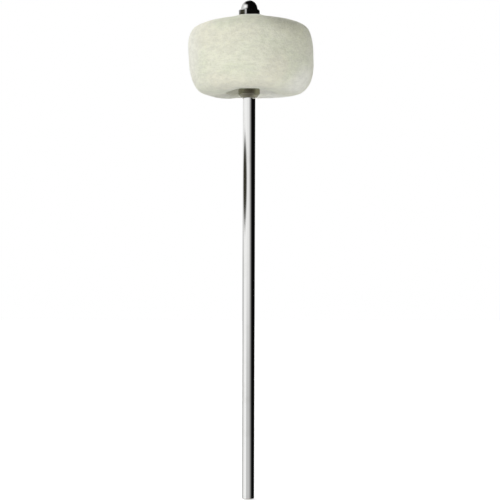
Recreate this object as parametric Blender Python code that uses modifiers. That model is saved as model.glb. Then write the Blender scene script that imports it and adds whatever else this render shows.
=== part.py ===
"""Bass drum beater: a hard felt head clamped on the threaded end of a plain steel rod.

Units are metres and +Z is up. The rod stands on the Z axis with its lower end face at the
origin, and the head is at the top. The pieces are stacked from the shoulder of the rod upwards,
so each one takes its height from the piece below it.
"""

import math

import bmesh
import bpy

# Rod
ROD_DIAMETER = 0.00635
ROD_LENGTH = 0.2012
ROD_END_CHAMFER = 0.0005
SHOULDER_CHAMFER = 0.0002
STUD_DIAMETER = 0.0043
STUD_END_CHAMFER = 0.0005

# Nuts and washers
NUT_ACROSS_FLATS = 0.009525
NUT_FACE_INSET = 0.0003
NUT_CHAMFER_ANGLE = math.radians(30)
LOWER_NUT_HEIGHT = 0.0048
LOWER_NUT_TURN = math.radians(22)
CAP_HEX_HEIGHT = 0.0056
CAP_SHOULDER_ANGLE = math.radians(45)
CAP_SHOULDER_WIDTH = 0.00025
CAP_NECK_HEIGHT = 0.0002
CAP_DOME_DIAMETER = 0.0083
CAP_BORE_DEPTH = 0.0066
CAP_DRILL_POINT_HEIGHT = 0.0014
CAP_NUT_TURN = math.radians(-15)
WASHER_DIAMETER = 0.0127
WASHER_THICKNESS = 0.00125
WASHER_CHAMFER = 0.0002

# Felt head. A fullness is a pair of powers: 2 and 2 would give an ellipse, and more is squarer.
FELT_DIAMETER = 0.0624
FELT_TOP_HEIGHT = 0.0163
FELT_BOTTOM_HEIGHT = 0.0180
FELT_TOP_FULLNESS = (9.0, 4.1)
FELT_BOTTOM_FULLNESS = (8.8, 2.15)
FELT_TOP_FLAT_DIAMETER = 0.034
FELT_BOTTOM_FLAT_DIAMETER = 0.036
FELT_CROWN = 0.0015
HOLLOW_DEPTH = 0.0047
HOLLOW_DIAMETER = 0.027
HOLLOW_LIP = 0.0006
WASHER_SINK = 0.0004
SEAT_MARGIN = 0.0006
SEAT_SLOPE_WIDTH = 0.0024
FLOOR_MARGIN = 0.0015

# How far the pressed felt is out of true. The lean and the tilt are slopes.
FELT_OFF_CENTRE = 0.0009
FELT_LEAN = 0.045
FELT_TOP_TILT = 0.016
FELT_DROOP = 0.0006
FELT_CORE_DIAMETER = 0.016

# Clearances between pieces, and how far a cutter runs past the face that it cuts
SEAT_GAP = 0.0003
THREAD_GAP = 0.0003
HOLE_GAP = 0.0005
STUD_END_GAP = 0.0006
CUT_OVERSHOOT = 0.0005

# Steps round the axis, and points along curved outlines
ROD_STEPS = 32
NUT_STEPS = 48
FELT_STEPS = 36
CORNER_POINTS = 10
SLOPE_POINTS = 4
DOME_POINTS = 7
MERGE_DISTANCE = 0.00001
SHARP_ANGLE = math.radians(30)

# Radii that several pieces share
ROD_RADIUS = ROD_DIAMETER / 2
STUD_RADIUS = STUD_DIAMETER / 2
THREAD_BORE_RADIUS = STUD_RADIUS + THREAD_GAP
HOLE_RADIUS = STUD_RADIUS + HOLE_GAP
WASHER_RADIUS = WASHER_DIAMETER / 2
NUT_FACE_RADIUS = NUT_ACROSS_FLATS / 2 - NUT_FACE_INSET
NUT_CORNER_RADIUS = NUT_ACROSS_FLATS / 2 / math.cos(math.radians(30))
CAP_DOME_RADIUS = CAP_DOME_DIAMETER / 2
FELT_RADIUS = FELT_DIAMETER / 2
SEAT_EDGE_RADIUS = WASHER_RADIUS + SEAT_MARGIN + SEAT_SLOPE_WIDTH


def felt_end_rise(radius, half_height, fullness):
    """Height of the felt's skin from its widest level: an ellipse made squarer by its fullness."""
    across, upward = fullness
    return half_height * (1 - (radius / FELT_RADIUS) ** across) ** (1 / upward)


def felt_top_rise(radius):
    """The upper skin also has a low crown towards the cap nut."""
    crown = FELT_CROWN * (1 - (radius / FELT_RADIUS) ** 2)
    return crown + felt_end_rise(radius, FELT_TOP_HEIGHT, FELT_TOP_FULLNESS)


# Heights of the stack, from the shoulder up
LOWER_NUT_Z = ROD_LENGTH + SEAT_GAP
LOWER_WASHER_Z = LOWER_NUT_Z + LOWER_NUT_HEIGHT + SEAT_GAP
HOLLOW_FLOOR_Z = LOWER_WASHER_Z + WASHER_THICKNESS + SEAT_GAP
FELT_BOTTOM_Z = HOLLOW_FLOOR_Z - HOLLOW_DEPTH
FELT_MIDDLE_Z = FELT_BOTTOM_Z + FELT_BOTTOM_HEIGHT
SEAT_EDGE_Z = FELT_MIDDLE_Z + felt_top_rise(SEAT_EDGE_RADIUS)
TOP_SEAT_Z = SEAT_EDGE_Z - WASHER_SINK
UPPER_WASHER_Z = TOP_SEAT_Z + SEAT_GAP
CAP_NUT_Z = UPPER_WASHER_Z + WASHER_THICKNESS + SEAT_GAP
STUD_TOP_Z = CAP_NUT_Z + CAP_BORE_DEPTH - STUD_END_GAP


def clear_scene():
    for old in list(bpy.data.objects):
        bpy.data.objects.remove(old, do_unlink=True)


def new_collection(name):
    collection = bpy.data.collections.new(name)
    bpy.context.scene.collection.children.link(collection)
    return collection


def principled(name, colour, roughness, metallic):
    material = bpy.data.materials.new(name)
    material.use_nodes = True
    shader = material.node_tree.nodes["Principled BSDF"]
    shader.inputs["Base Color"].default_value = (*colour, 1.0)
    shader.inputs["Roughness"].default_value = roughness
    shader.inputs["Metallic"].default_value = metallic
    return material


def eased(share):
    """Smooth step from 0 to 1 as share goes from 0 to 1."""
    share = min(max(share, 0.0), 1.0)
    return share * share * (3.0 - 2.0 * share)


def turned(name, outline, steps, collection, closed=False):
    """Turn an outline of (radius, height) points about Z.

    An open outline starts and ends on the axis. A closed one is a ring's section. Both run down
    the outer side from top to bottom, which turns their faces outwards.
    """
    edges = [(i, i + 1) for i in range(len(outline) - 1)]
    if closed:
        edges.append((len(outline) - 1, 0))
    mesh = bpy.data.meshes.new(name)
    mesh.from_pydata([(radius, 0.0, height) for radius, height in outline], edges, [])
    piece = bpy.data.objects.new(name, mesh)
    collection.objects.link(piece)
    screw = piece.modifiers.new("Turn", "SCREW")
    screw.axis = "Z"
    screw.angle = math.radians(360)
    screw.steps = steps
    screw.render_steps = steps
    screw.use_merge_vertices = True
    screw.merge_threshold = MERGE_DISTANCE
    return piece


def hexagon_bar(name, height, turn, collection):
    """A hexagonal bar standing on z = 0, one corner facing -Y before it is turned."""
    mesh = bpy.data.meshes.new(name)
    bm = bmesh.new()
    bmesh.ops.create_cone(
        bm, cap_ends=True, segments=6,
        radius1=NUT_CORNER_RADIUS, radius2=NUT_CORNER_RADIUS, depth=height,
    )
    bmesh.ops.translate(bm, verts=bm.verts, vec=(0.0, 0.0, height / 2))
    bm.to_mesh(mesh)
    bm.free()
    bar = bpy.data.objects.new(name, mesh)
    bar.rotation_euler.z = turn
    collection.objects.link(bar)
    return bar


def chamfer_blank(name, height, top_radius, top_angle, collection):
    """The turned shape that a hexagonal bar is trimmed to, so its corners are chamfered."""
    full_radius = NUT_CORNER_RADIUS + CUT_OVERSHOOT
    top_fall = (full_radius - top_radius) * math.tan(top_angle)
    bottom_rise = (full_radius - NUT_FACE_RADIUS) * math.tan(NUT_CHAMFER_ANGLE)
    return turned(name, [
        (0.0, height),
        (top_radius, height),
        (full_radius, height - top_fall),
        (full_radius, bottom_rise),
        (NUT_FACE_RADIUS, 0.0),
        (0.0, 0.0),
    ], NUT_STEPS, collection)


def hide_as_cutter(cutter):
    cutter.hide_render = True
    cutter.display_type = "WIRE"


def combine(piece, other, operation):
    hide_as_cutter(other)
    boolean = piece.modifiers.new(operation.title(), "BOOLEAN")
    boolean.operation = operation
    boolean.object = other
    boolean.solver = "EXACT"


def finish(piece, material, height):
    """Lift a piece to its place in the stack, and shade its round faces smooth."""
    bpy.context.view_layer.update()
    evaluated = piece.evaluated_get(bpy.context.evaluated_depsgraph_get())
    mesh = bpy.data.meshes.new_from_object(evaluated)
    mesh.name = piece.name
    piece.modifiers.clear()
    piece.data = mesh
    mesh.materials.clear()
    mesh.materials.append(material)
    mesh.shade_smooth()
    mesh.set_sharp_from_angle(angle=SHARP_ANGLE)
    piece.location.z = height
    return piece


def make_shaft(collection, steel):
    """The rod, with its stud and both end chamfers, turned in one piece."""
    shaft = turned("shaft", [
        (0.0, STUD_TOP_Z),
        (STUD_RADIUS - STUD_END_CHAMFER, STUD_TOP_Z),
        (STUD_RADIUS, STUD_TOP_Z - STUD_END_CHAMFER),
        (STUD_RADIUS, ROD_LENGTH),
        (ROD_RADIUS - SHOULDER_CHAMFER, ROD_LENGTH),
        (ROD_RADIUS, ROD_LENGTH - SHOULDER_CHAMFER),
        (ROD_RADIUS, ROD_END_CHAMFER),
        (ROD_RADIUS - ROD_END_CHAMFER, 0.0),
        (0.0, 0.0),
    ], ROD_STEPS, collection)
    return finish(shaft, steel, 0.0)


def make_washer(name, height, collection, steel):
    washer = turned(name, [
        (HOLE_RADIUS, WASHER_THICKNESS),
        (WASHER_RADIUS - WASHER_CHAMFER, WASHER_THICKNESS),
        (WASHER_RADIUS, WASHER_THICKNESS - WASHER_CHAMFER),
        (WASHER_RADIUS, WASHER_CHAMFER),
        (WASHER_RADIUS - WASHER_CHAMFER, 0.0),
        (HOLE_RADIUS, 0.0),
    ], NUT_STEPS, collection, closed=True)
    return finish(washer, steel, height)


def drill(name, depth, point_height, collection):
    """A cutter for a threaded bore from z = 0 upwards, with its drill point at the top."""
    return turned(name, [
        (0.0, depth + point_height),
        (THREAD_BORE_RADIUS, depth),
        (THREAD_BORE_RADIUS, -CUT_OVERSHOOT),
        (0.0, -CUT_OVERSHOOT),
    ], ROD_STEPS, collection)


def make_lower_nut(collection, cutters, steel):
    nut = hexagon_bar("lower_nut", LOWER_NUT_HEIGHT, LOWER_NUT_TURN, collection)
    blank = chamfer_blank(
        "lower_nut_blank", LOWER_NUT_HEIGHT, NUT_FACE_RADIUS, NUT_CHAMFER_ANGLE, cutters)
    through = drill("lower_nut_drill", LOWER_NUT_HEIGHT + CUT_OVERSHOOT, 0.0, cutters)
    combine(nut, blank, "INTERSECT")
    combine(nut, through, "DIFFERENCE")
    return finish(nut, steel, LOWER_NUT_Z)


def dome_outline():
    """A round dome on a short neck, whose foot is sunk into the hexagon below it."""
    neck_top = CAP_HEX_HEIGHT + CAP_NECK_HEIGHT
    outline = []
    for i in range(DOME_POINTS + 1):
        turn = math.radians(90) * (1 - i / DOME_POINTS)
        radius = CAP_DOME_RADIUS * math.cos(turn) if i else 0.0
        outline.append((radius, neck_top + CAP_DOME_RADIUS * math.sin(turn)))
    outline.append((CAP_DOME_RADIUS, CAP_HEX_HEIGHT / 2))
    outline.append((0.0, CAP_HEX_HEIGHT / 2))
    return outline


def make_cap_nut(collection, cutters, steel):
    nut = hexagon_bar("cap_nut", CAP_HEX_HEIGHT, CAP_NUT_TURN, collection)
    shoulder_radius = CAP_DOME_RADIUS + CAP_SHOULDER_WIDTH
    blank = chamfer_blank(
        "cap_nut_blank", CAP_HEX_HEIGHT, shoulder_radius, CAP_SHOULDER_ANGLE, cutters)
    dome = turned("cap_nut_dome", dome_outline(), NUT_STEPS, cutters)
    blind = drill("cap_nut_drill", CAP_BORE_DEPTH, CAP_DRILL_POINT_HEIGHT, cutters)
    combine(nut, blank, "INTERSECT")
    combine(nut, dome, "UNION")
    combine(nut, blind, "DIFFERENCE")
    return finish(nut, steel, CAP_NUT_Z)


def felt_corner_radii(fullness, flat_diameter):
    """Radii along half of the felt's side, from its widest point to the edge of its flat end."""
    across = fullness[0]
    last = math.acos((flat_diameter / FELT_DIAMETER) ** (across / 2))
    return [
        FELT_RADIUS * math.cos(last * i / CORNER_POINTS) ** (2 / across)
        for i in range(CORNER_POINTS + 1)
    ]


def slope(inner, outer):
    """Points of a soft slope between two (radius, height) points, both included."""
    return [
        (
            inner[0] + (outer[0] - inner[0]) * i / SLOPE_POINTS,
            inner[1] + (outer[1] - inner[1]) * eased(i / SLOPE_POINTS),
        )
        for i in range(SLOPE_POINTS + 1)
    ]


def felt_outline():
    """Section of the felt, from the top of its bore round its outer side and back up."""
    top_radii = felt_corner_radii(FELT_TOP_FULLNESS, FELT_TOP_FLAT_DIAMETER)
    bottom_radii = felt_corner_radii(FELT_BOTTOM_FULLNESS, FELT_BOTTOM_FLAT_DIAMETER)
    outline = [(HOLE_RADIUS, TOP_SEAT_Z)]
    outline += slope((WASHER_RADIUS + SEAT_MARGIN, TOP_SEAT_Z), (SEAT_EDGE_RADIUS, SEAT_EDGE_Z))
    outline += [
        (radius, FELT_MIDDLE_Z + felt_top_rise(radius)) for radius in reversed(top_radii)
    ]
    outline += [
        (radius, FELT_MIDDLE_Z - felt_end_rise(radius, FELT_BOTTOM_HEIGHT, FELT_BOTTOM_FULLNESS))
        for radius in bottom_radii[1:]
    ]
    outline += reversed(slope(
        (WASHER_RADIUS + FLOOR_MARGIN, HOLLOW_FLOOR_Z),
        (HOLLOW_DIAMETER / 2, FELT_BOTTOM_Z + HOLLOW_LIP),
    ))
    outline.append((HOLE_RADIUS, HOLLOW_FLOOR_Z))
    return outline


def press_out_of_true(mesh):
    """Pressed felt is never quite true, so its outer skin is moved a little.

    It sits off centre, leans to one side, droops to the left and right, and its top tilts. The
    core round the bore stays on the rod, and the shifts ease in outside it.
    """
    core = FELT_CORE_DIAMETER / 2
    for vertex in mesh.vertices:
        x, y, z = vertex.co
        rise = z - FELT_MIDDLE_Z
        share = eased((math.hypot(x, y) - core) / core)
        top_share = eased(rise / FELT_TOP_HEIGHT)
        droop = FELT_DROOP * (x * x - y * y) / FELT_RADIUS ** 2
        vertex.co.x += share * (FELT_OFF_CENTRE - FELT_LEAN * rise)
        vertex.co.z += share * (FELT_TOP_TILT * x * top_share - droop)


def make_felt_head(collection, felt):
    head = turned("felt_head", felt_outline(), FELT_STEPS, collection, closed=True)
    finish(head, felt, 0.0)
    press_out_of_true(head.data)
    return head


def main():
    clear_scene()
    parts = new_collection("bass_drum_beater")
    cutters = new_collection("cutters")
    chrome = principled("polished_chrome", (0.83, 0.83, 0.82), 0.08, 1.0)
    nut_steel = principled("bright_nut_steel", (0.62, 0.61, 0.58), 0.14, 1.0)
    washer_steel = principled("washer_steel", (0.55, 0.54, 0.52), 0.25, 1.0)
    wool = principled("pressed_wool_felt", (0.76, 0.76, 0.62), 0.95, 0.0)
    make_shaft(parts, chrome)
    make_lower_nut(parts, cutters, nut_steel)
    make_washer("lower_washer", LOWER_WASHER_Z, parts, washer_steel)
    make_felt_head(parts, wool)
    make_washer("upper_washer", UPPER_WASHER_Z, parts, washer_steel)
    make_cap_nut(parts, cutters, chrome)
    bpy.context.view_layer.update()


main()
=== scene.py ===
# %% [markdown]
# # A bass drum beater
#
# This lesson dresses a small hardware part for its photograph: a hard felt head on a chromed
# steel rod, clamped by a domed cap nut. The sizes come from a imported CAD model, which the first
# cell loads. Each CAD body is an empty that the finished pieces ride on, so the beater can still
# be taken apart by its joints when everything here is done.

# %% Load the frame
import math
import random

import bmesh
import bpy
from mathutils import Matrix, Vector, noise


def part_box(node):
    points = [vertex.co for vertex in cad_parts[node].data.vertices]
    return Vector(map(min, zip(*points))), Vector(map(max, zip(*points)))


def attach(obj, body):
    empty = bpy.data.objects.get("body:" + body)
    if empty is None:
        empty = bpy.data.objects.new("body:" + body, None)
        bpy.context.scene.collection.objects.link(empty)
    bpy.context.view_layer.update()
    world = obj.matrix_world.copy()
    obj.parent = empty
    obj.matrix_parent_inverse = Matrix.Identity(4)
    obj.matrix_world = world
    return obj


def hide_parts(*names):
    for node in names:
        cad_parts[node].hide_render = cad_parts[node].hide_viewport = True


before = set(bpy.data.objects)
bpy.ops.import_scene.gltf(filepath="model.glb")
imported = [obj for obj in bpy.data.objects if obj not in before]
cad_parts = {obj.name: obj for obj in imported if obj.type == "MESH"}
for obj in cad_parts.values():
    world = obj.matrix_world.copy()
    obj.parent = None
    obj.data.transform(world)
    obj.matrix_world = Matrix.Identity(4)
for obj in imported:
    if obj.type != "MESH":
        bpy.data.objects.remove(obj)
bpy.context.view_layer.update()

# %% [markdown]
# ## The sizes that every piece shares
#
# A beater is a stack: each piece sits on the one below it. We read the rod, nuts and washers from
# the frame instead of typing their places again, so a change in the CAD stack moves the looks with
# it. What a box can't tell is typed here, such as the real thread and the nuts' width across the
# flats. Pieces that touch in use stand SEAT_GAP apart in the CAD model. Here the rod's shoulder and
# the felt come to within TOUCH of their neighbours.

# %% Read the stack
MM = 0.001
rod_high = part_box("shaft")[1]
lower_nut_low, lower_nut_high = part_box("lower_nut")
lower_washer_low, lower_washer_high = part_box("lower_washer")
upper_washer_low, upper_washer_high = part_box("upper_washer")
cap_low, cap_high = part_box("cap_nut")

ROD_RADIUS = rod_high.x
STUD_TOP = rod_high.z
WASHER_RADIUS = upper_washer_high.x
SEAT_GAP = 0.3 * MM
TOUCH = 0.05 * MM
SHOULDER = lower_nut_low.z - TOUCH
print("rod", round(2000 * ROD_RADIUS, 2), "mm across, shoulder at", round(1000 * SHOULDER, 1), "mm")

# %% Sizes of the thread and the nuts
INCH = 25.4 * MM
THREADS_IN_AN_INCH = 32
THREAD_PITCH = INCH / THREADS_IN_AN_INCH
THREAD_RADIUS = 2.4 * MM
THREAD_ROOT_RADIUS = 1.93 * MM
NUT_BORE_RADIUS = 2.46 * MM
WASHER_HOLE_RADIUS = 2.65 * MM
NUT_FLAT_RADIUS = 9.525 * MM / 2
NUT_CORNER_RADIUS = NUT_FLAT_RADIUS / math.cos(math.radians(30))
NUT_FACE_RADIUS = NUT_FLAT_RADIUS - 0.3 * MM
CAP_HEX_TOP = cap_low.z + 5.35 * MM
CAP_DOME_RADIUS = 4.15 * MM
print("thread pitch", round(THREAD_PITCH / MM, 3), "mm")
print("nuts", round(2 * NUT_FLAT_RADIUS / MM, 3), "mm across the flats")

# %% [markdown]
# ## Helpers for turned pieces
#
# Almost every metal piece here was made on a lathe, so almost every mesh starts as a short line of
# points that `bmesh.ops.spin` takes once round the Z axis. A Screw modifier would do the same, but
# a bmesh can be bevelled and milled afterwards, as the real blank is. The spin leaves doubled
# points on the axis, so they are merged before the normals are recalculated. Smooth shading would
# bleed from a rim along a straight wall, so a point close to each end of the wall holds it back.

# %% Hold the long stretches
HOLD = 0.08 * MM
LONG_STRETCH = 2.0 * MM


def held(outline):
    """Adds a point near each end of every long stretch, so its shading stays flat in between."""
    for here, there in zip(outline, outline[1:]):
        yield here
        along = Vector(there) - Vector(here)
        if along.length > LONG_STRETCH:
            yield tuple(Vector(here) + HOLD * along.normalized())
            yield tuple(Vector(there) - HOLD * along.normalized())
    yield outline[-1]


# %% Spin an outline
MERGE = 0.001 * MM
ROUND_STEPS = 96


def turned(outline, steps=ROUND_STEPS, closed=False):
    """Spins (radius, height) points round Z. A closed outline is a ring's section."""
    bm = bmesh.new()
    points = [bm.verts.new((radius, 0.0, height)) for radius, height in held(outline)]
    edges = [bm.edges.new(pair) for pair in zip(points, points[1:])]
    if closed:
        edges.append(bm.edges.new((points[-1], points[0])))
    bmesh.ops.spin(
        bm, geom=points + edges, cent=(0, 0, 0), axis=(0, 0, 1),
        angle=math.tau, steps=steps, use_merge=True,
    )
    bmesh.ops.remove_doubles(bm, verts=bm.verts, dist=MERGE)
    bmesh.ops.recalc_face_normals(bm, faces=bm.faces)
    return bm


def arc(centre, radius, start, end, points):
    """Points of a round from one angle to another, in degrees, in the outline's plane."""
    out, up = centre
    for i in range(points + 1):
        angle = math.radians(start + (end - start) * i / points)
        yield (out + radius * math.cos(angle), up + radius * math.sin(angle))


# %% Round the sharp rims
def round_rims(bm, width, segments=2, sharper_than=25):
    """Real edges are never knife sharp: a narrow round on each one catches the light."""
    limit = math.radians(sharper_than)
    rims = [edge for edge in bm.edges if edge.is_manifold and edge.calc_face_angle() > limit]
    bmesh.ops.bevel(
        bm, geom=rims, offset=width, offset_type="OFFSET", affect="EDGES",
        segments=segments, profile=0.5, material=-1, clamp_overlap=True,
    )


# %% Put a finished bmesh in the scene
def piece_from(bm, name, body, material, sharp):
    """Makes an object of a bmesh, shades it smooth up to a crease angle, and lets it ride."""
    bmesh.ops.recalc_face_normals(bm, faces=bm.faces)
    mesh = bpy.data.meshes.new(name)
    bm.to_mesh(mesh)
    bm.free()
    mesh.materials.append(material)
    mesh.shade_smooth()
    mesh.set_sharp_from_angle(angle=math.radians(sharp))
    piece = bpy.data.objects.new(name, mesh)
    bpy.context.scene.collection.objects.link(piece)
    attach(piece, body)
    print(f"{name}: {len(mesh.polygons)} faces, rides on {body}")
    return piece


# %% [markdown]
# ## Helpers for materials
#
# Node trees written out link by link are hard to read. One small function adds a node, sets it and
# links it in a single call. Effects that more than one finish uses are node groups, built once and
# given their own values in each material.

# %% Add a node in one call
def add(tree, kind, inputs=None, **settings):
    """Adds a node. A socket given as an input is linked, and any other value is set."""
    new = tree.nodes.new(kind)
    for name, value in settings.items():
        setattr(new, name, value)
    for key, value in (inputs or {}).items():
        if isinstance(value, bpy.types.NodeSocket):
            tree.links.new(value, new.inputs[key])
        else:
            new.inputs[key].default_value = value
    return new


def maths(tree, operation, first, second=0.0):
    """A Math node's answer."""
    return add(tree, "ShaderNodeMath", {0: first, 1: second}, operation=operation).outputs[0]


def blend_colour(tree, factor, first, second, blend_type="MIX"):
    """A Mix node for colours: the sockets 6 and 7 are its two colours."""
    mixed = add(tree, "ShaderNodeMix", {0: factor, 6: first, 7: second},
                data_type="RGBA", blend_type=blend_type)
    return mixed.outputs[2]


def ease(tree, value, start, end, low=0.0, high=1.0):
    """A Map Range node with a smooth step: low at start, high at end."""
    mapped = add(tree, "ShaderNodeMapRange", {
        "Value": value, "From Min": start, "From Max": end, "To Min": low, "To Max": high,
    }, interpolation_type="SMOOTHSTEP")
    return mapped.outputs["Result"]


def stretched(tree, vector, scale, turn=(0.0, 0.0, 0.0)):
    """Turns the coordinates first and then scales them, so the stretch follows the turned axes."""
    turned_place = add(tree, "ShaderNodeMapping", {"Vector": vector, "Rotation": turn}).outputs[0]
    scaled = add(tree, "ShaderNodeVectorMath", {0: turned_place, 1: scale}, operation="MULTIPLY")
    return scaled.outputs[0]


def distance(tree, place, middle):
    """How far each point of a piece is from a place on it."""
    measured = add(tree, "ShaderNodeVectorMath", {0: place, 1: middle}, operation="DISTANCE")
    return measured.outputs["Value"]


def grey(tree, level):
    """A colour with all its channels at one level."""
    return add(tree, "ShaderNodeCombineColor", {0: level, 1: level, 2: level}).outputs[0]


def fine_noise(tree, vector, scale, detail=2.0, roughness=0.5):
    """A Noise texture's grey value."""
    textured = add(tree, "ShaderNodeTexNoise", {
        "Vector": vector, "Scale": scale, "Detail": detail, "Roughness": roughness,
    })
    return textured.outputs["Fac"]


# %% Start a node group or a material
def new_group(name, inputs, outputs):
    """A shader node group with named float, vector and colour sockets."""
    group = bpy.data.node_groups.new(name, "ShaderNodeTree")
    for label, kind, value in inputs:
        socket = group.interface.new_socket(label, in_out="INPUT", socket_type=kind)
        if value is not None:
            socket.default_value = value
    for label, kind in outputs:
        group.interface.new_socket(label, in_out="OUTPUT", socket_type=kind)
    return group, group.nodes.new("NodeGroupInput").outputs, group.nodes.new("NodeGroupOutput")


def use_group(tree, group, inputs):
    """Places a group in a tree with its own values."""
    return add(tree, "ShaderNodeGroup", inputs, node_tree=group).outputs


def new_material(name, colour, roughness, metallic):
    """A Principled material, with the object's own coordinates at hand."""
    material = bpy.data.materials.new(name)
    material.use_nodes = True
    tree = material.node_tree
    shader = tree.nodes["Principled BSDF"]
    shader.inputs["Base Color"].default_value = (*colour, 1.0)
    shader.inputs["Roughness"].default_value = roughness
    shader.inputs["Metallic"].default_value = metallic
    place = tree.nodes.new("ShaderNodeTexCoord").outputs["Object"]
    return material, tree, shader, place


# %% [markdown]
# ## The wear that every metal piece shares
#
# A bright metal is never equally bright: fingers leave faint smudges, and cloths leave hairlines.
# Both change the roughness much more than the colour. One group makes a smudge mask from broad
# noise and a hairline mask from noise that can be squeezed along one direction, and each metal says
# how broad and how fine its own marks are. Painted textures would need unwrapped pieces, and noise
# doesn't.

# %% Handled metal
HAIRLINE_RANGE = (0.52, 0.72)
HAIRLINE_SHARE = 0.6
SMUDGE_RANGE = (0.5, 0.75)
handled_metal, given, result = new_group("handled metal", [
    ("Vector", "NodeSocketVector", None),
    ("Hairline Stretch", "NodeSocketVector", (1.0, 1.0, 1.0)),
    ("Smudge Scale", "NodeSocketFloat", 90.0),
    ("Clean Roughness", "NodeSocketFloat", 0.05),
    ("Worn Roughness", "NodeSocketFloat", 0.2),
], [
    ("Roughness", "NodeSocketFloat"),
    ("Smudge", "NodeSocketFloat"),
    ("Hairlines", "NodeSocketFloat"),
])
drawn = add(handled_metal, "ShaderNodeVectorMath",
            {0: given["Vector"], 1: given["Hairline Stretch"]}, operation="MULTIPLY").outputs[0]
lines = fine_noise(handled_metal, drawn, 1.0, detail=3.0, roughness=0.6)
hairlines = ease(handled_metal, lines, *HAIRLINE_RANGE)
broad = fine_noise(handled_metal, given["Vector"], given["Smudge Scale"], detail=4.0)
smudge = ease(handled_metal, broad, *SMUDGE_RANGE)
faint_hairlines = maths(handled_metal, "MULTIPLY", hairlines, HAIRLINE_SHARE)
wear = maths(handled_metal, "MAXIMUM", smudge, faint_hairlines)
spread = maths(handled_metal, "SUBTRACT", given["Worn Roughness"], given["Clean Roughness"])
worn = maths(handled_metal, "MULTIPLY", spread, wear)
rough = maths(handled_metal, "ADD", given["Clean Roughness"], worn)
for label, value in (("Roughness", rough), ("Smudge", smudge), ("Hairlines", hairlines)):
    handled_metal.links.new(value, result.inputs[label])
print("handled metal:", len(handled_metal.nodes), "nodes")


# %% A metal that wears those marks
def worn_metal(name, bright, dull, clean, worn, stretch, smudge_scale, strength, relief):
    """Gives the material and what more marks need: its tree, shader, coordinates and colour."""
    material, tree, shader, place = new_material(name, bright, clean, 1.0)
    marks = use_group(tree, handled_metal, {
        "Vector": place, "Hairline Stretch": stretch, "Smudge Scale": smudge_scale,
        "Clean Roughness": clean, "Worn Roughness": worn,
    })
    tint = blend_colour(tree, marks["Smudge"], (*bright, 1.0), (*dull, 1.0))
    bump = add(tree, "ShaderNodeBump", {
        "Strength": strength, "Distance": relief, "Height": marks["Hairlines"],
    })
    tree.links.new(tint, shader.inputs["Base Color"])
    tree.links.new(marks["Roughness"], shader.inputs["Roughness"])
    tree.links.new(bump.outputs["Normal"], shader.inputs["Normal"])
    return material, tree, shader, place, tint


# %% [markdown]
# ## Chrome for the rod and the cap nut
#
# The photograph shows mirror-bright plating with hard black reflections, so the roughness is very
# low. The rod is drawn and polished along its length, and its hairlines follow it: the noise is
# squeezed across the rod and left long in Z. The cap nut is buffed every way, so its marks are even.

# %% Chrome
CHROME = (0.86, 0.86, 0.85)
DULL_CHROME = (0.78, 0.78, 0.76)
CLEAN_CHROME, WORN_CHROME = 0.035, 0.12
HAIRLINE_RELIEF = 0.002 * MM


def chrome(name, stretch, smudge_scale):
    """Mirror-bright plating with its own marks."""
    return worn_metal(name, CHROME, DULL_CHROME, CLEAN_CHROME, WORN_CHROME,
                      stretch, smudge_scale, strength=0.15, relief=HAIRLINE_RELIEF)[0]


rod_chrome = chrome("rod chrome", stretch=(2600.0, 2600.0, 30.0), smudge_scale=70.0)
cap_chrome = chrome("cap nut chrome", stretch=(1500.0, 1500.0, 1500.0), smudge_scale=260.0)
print("chrome finishes:", rod_chrome.name, "and", cap_chrome.name)

# %% [markdown]
# ## Plated steel for the lower nut, the washers and the stud
#
# The lower nut and both washers are cheaper plated steel, duller than the rod. A washer is
# punched and tumbled, which leaves fine scratches every way. The stud has a rolled thread whose
# roots hold dark oil, so its colour darkens with depth: the distance from the Z axis is measured
# in the material, which costs two Vector Math nodes. The lower nut's steel is darkened and made
# olive as a painted reflection of the shaded felt hollow round it. Two dark patches of painted
# shade lie on its front, each fading with the distance from its middle.

# %% Plated steel
# The nut steel's dark olive is partly the plating's tint and partly painted reflection of the shaded
# felt hollow round the lower nut. The thread uses it too.
NUT_STEEL = (0.40, 0.39, 0.30)
WASHER_STEEL = (0.56, 0.55, 0.53)
OIL_AND_PAINTED_SHADE = (0.09, 0.08, 0.065)
DULL_SHARE = 0.72
SCRATCH_RELIEF = 0.01 * MM
# Each patch of painted shade on the lower nut: its middle, how far it is full, where it is gone, and
# its share.
PAINTED_SHADE_PATCHES = (
    ((0.8 * MM, -5.0 * MM, 205.0 * MM), 1.0 * MM, 4.0 * MM, 0.8),
    ((-0.5 * MM, -4.4 * MM, 203.7 * MM), 1.5 * MM, 4.5 * MM, 0.65),
)


def plated_steel(name, colour, clean, worn, stretch):
    """A steel of its own colour, with deeper scratches than chrome has."""
    dull = tuple(DULL_SHARE * channel for channel in colour)
    return worn_metal(name, colour, dull, clean, worn,
                      stretch, smudge_scale=300.0, strength=0.3, relief=SCRATCH_RELIEF)


washer_steel = plated_steel(
    "tumbled washer steel", WASHER_STEEL, clean=0.22, worn=0.42, stretch=(2200.0, 1400.0, 1800.0))[0]
nut_steel, tree, shader, place, colour = plated_steel(
    "plated nut steel", NUT_STEEL, clean=0.13, worn=0.32, stretch=(900.0, 900.0, 2600.0))
# Painted shade: two dark patches on the lower nut's front, where it mirrors the shaded hollow.
for middle, full, gone, share in PAINTED_SHADE_PATCHES:
    painted_shade_patch = ease(tree, distance(tree, place, middle), full, gone, share, 0.0)
    colour = blend_colour(tree, painted_shade_patch, colour, (*OIL_AND_PAINTED_SHADE, 1.0))
tree.links.new(colour, shader.inputs["Base Color"])
print("steel finishes:", washer_steel.name, "and", nut_steel.name)

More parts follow.
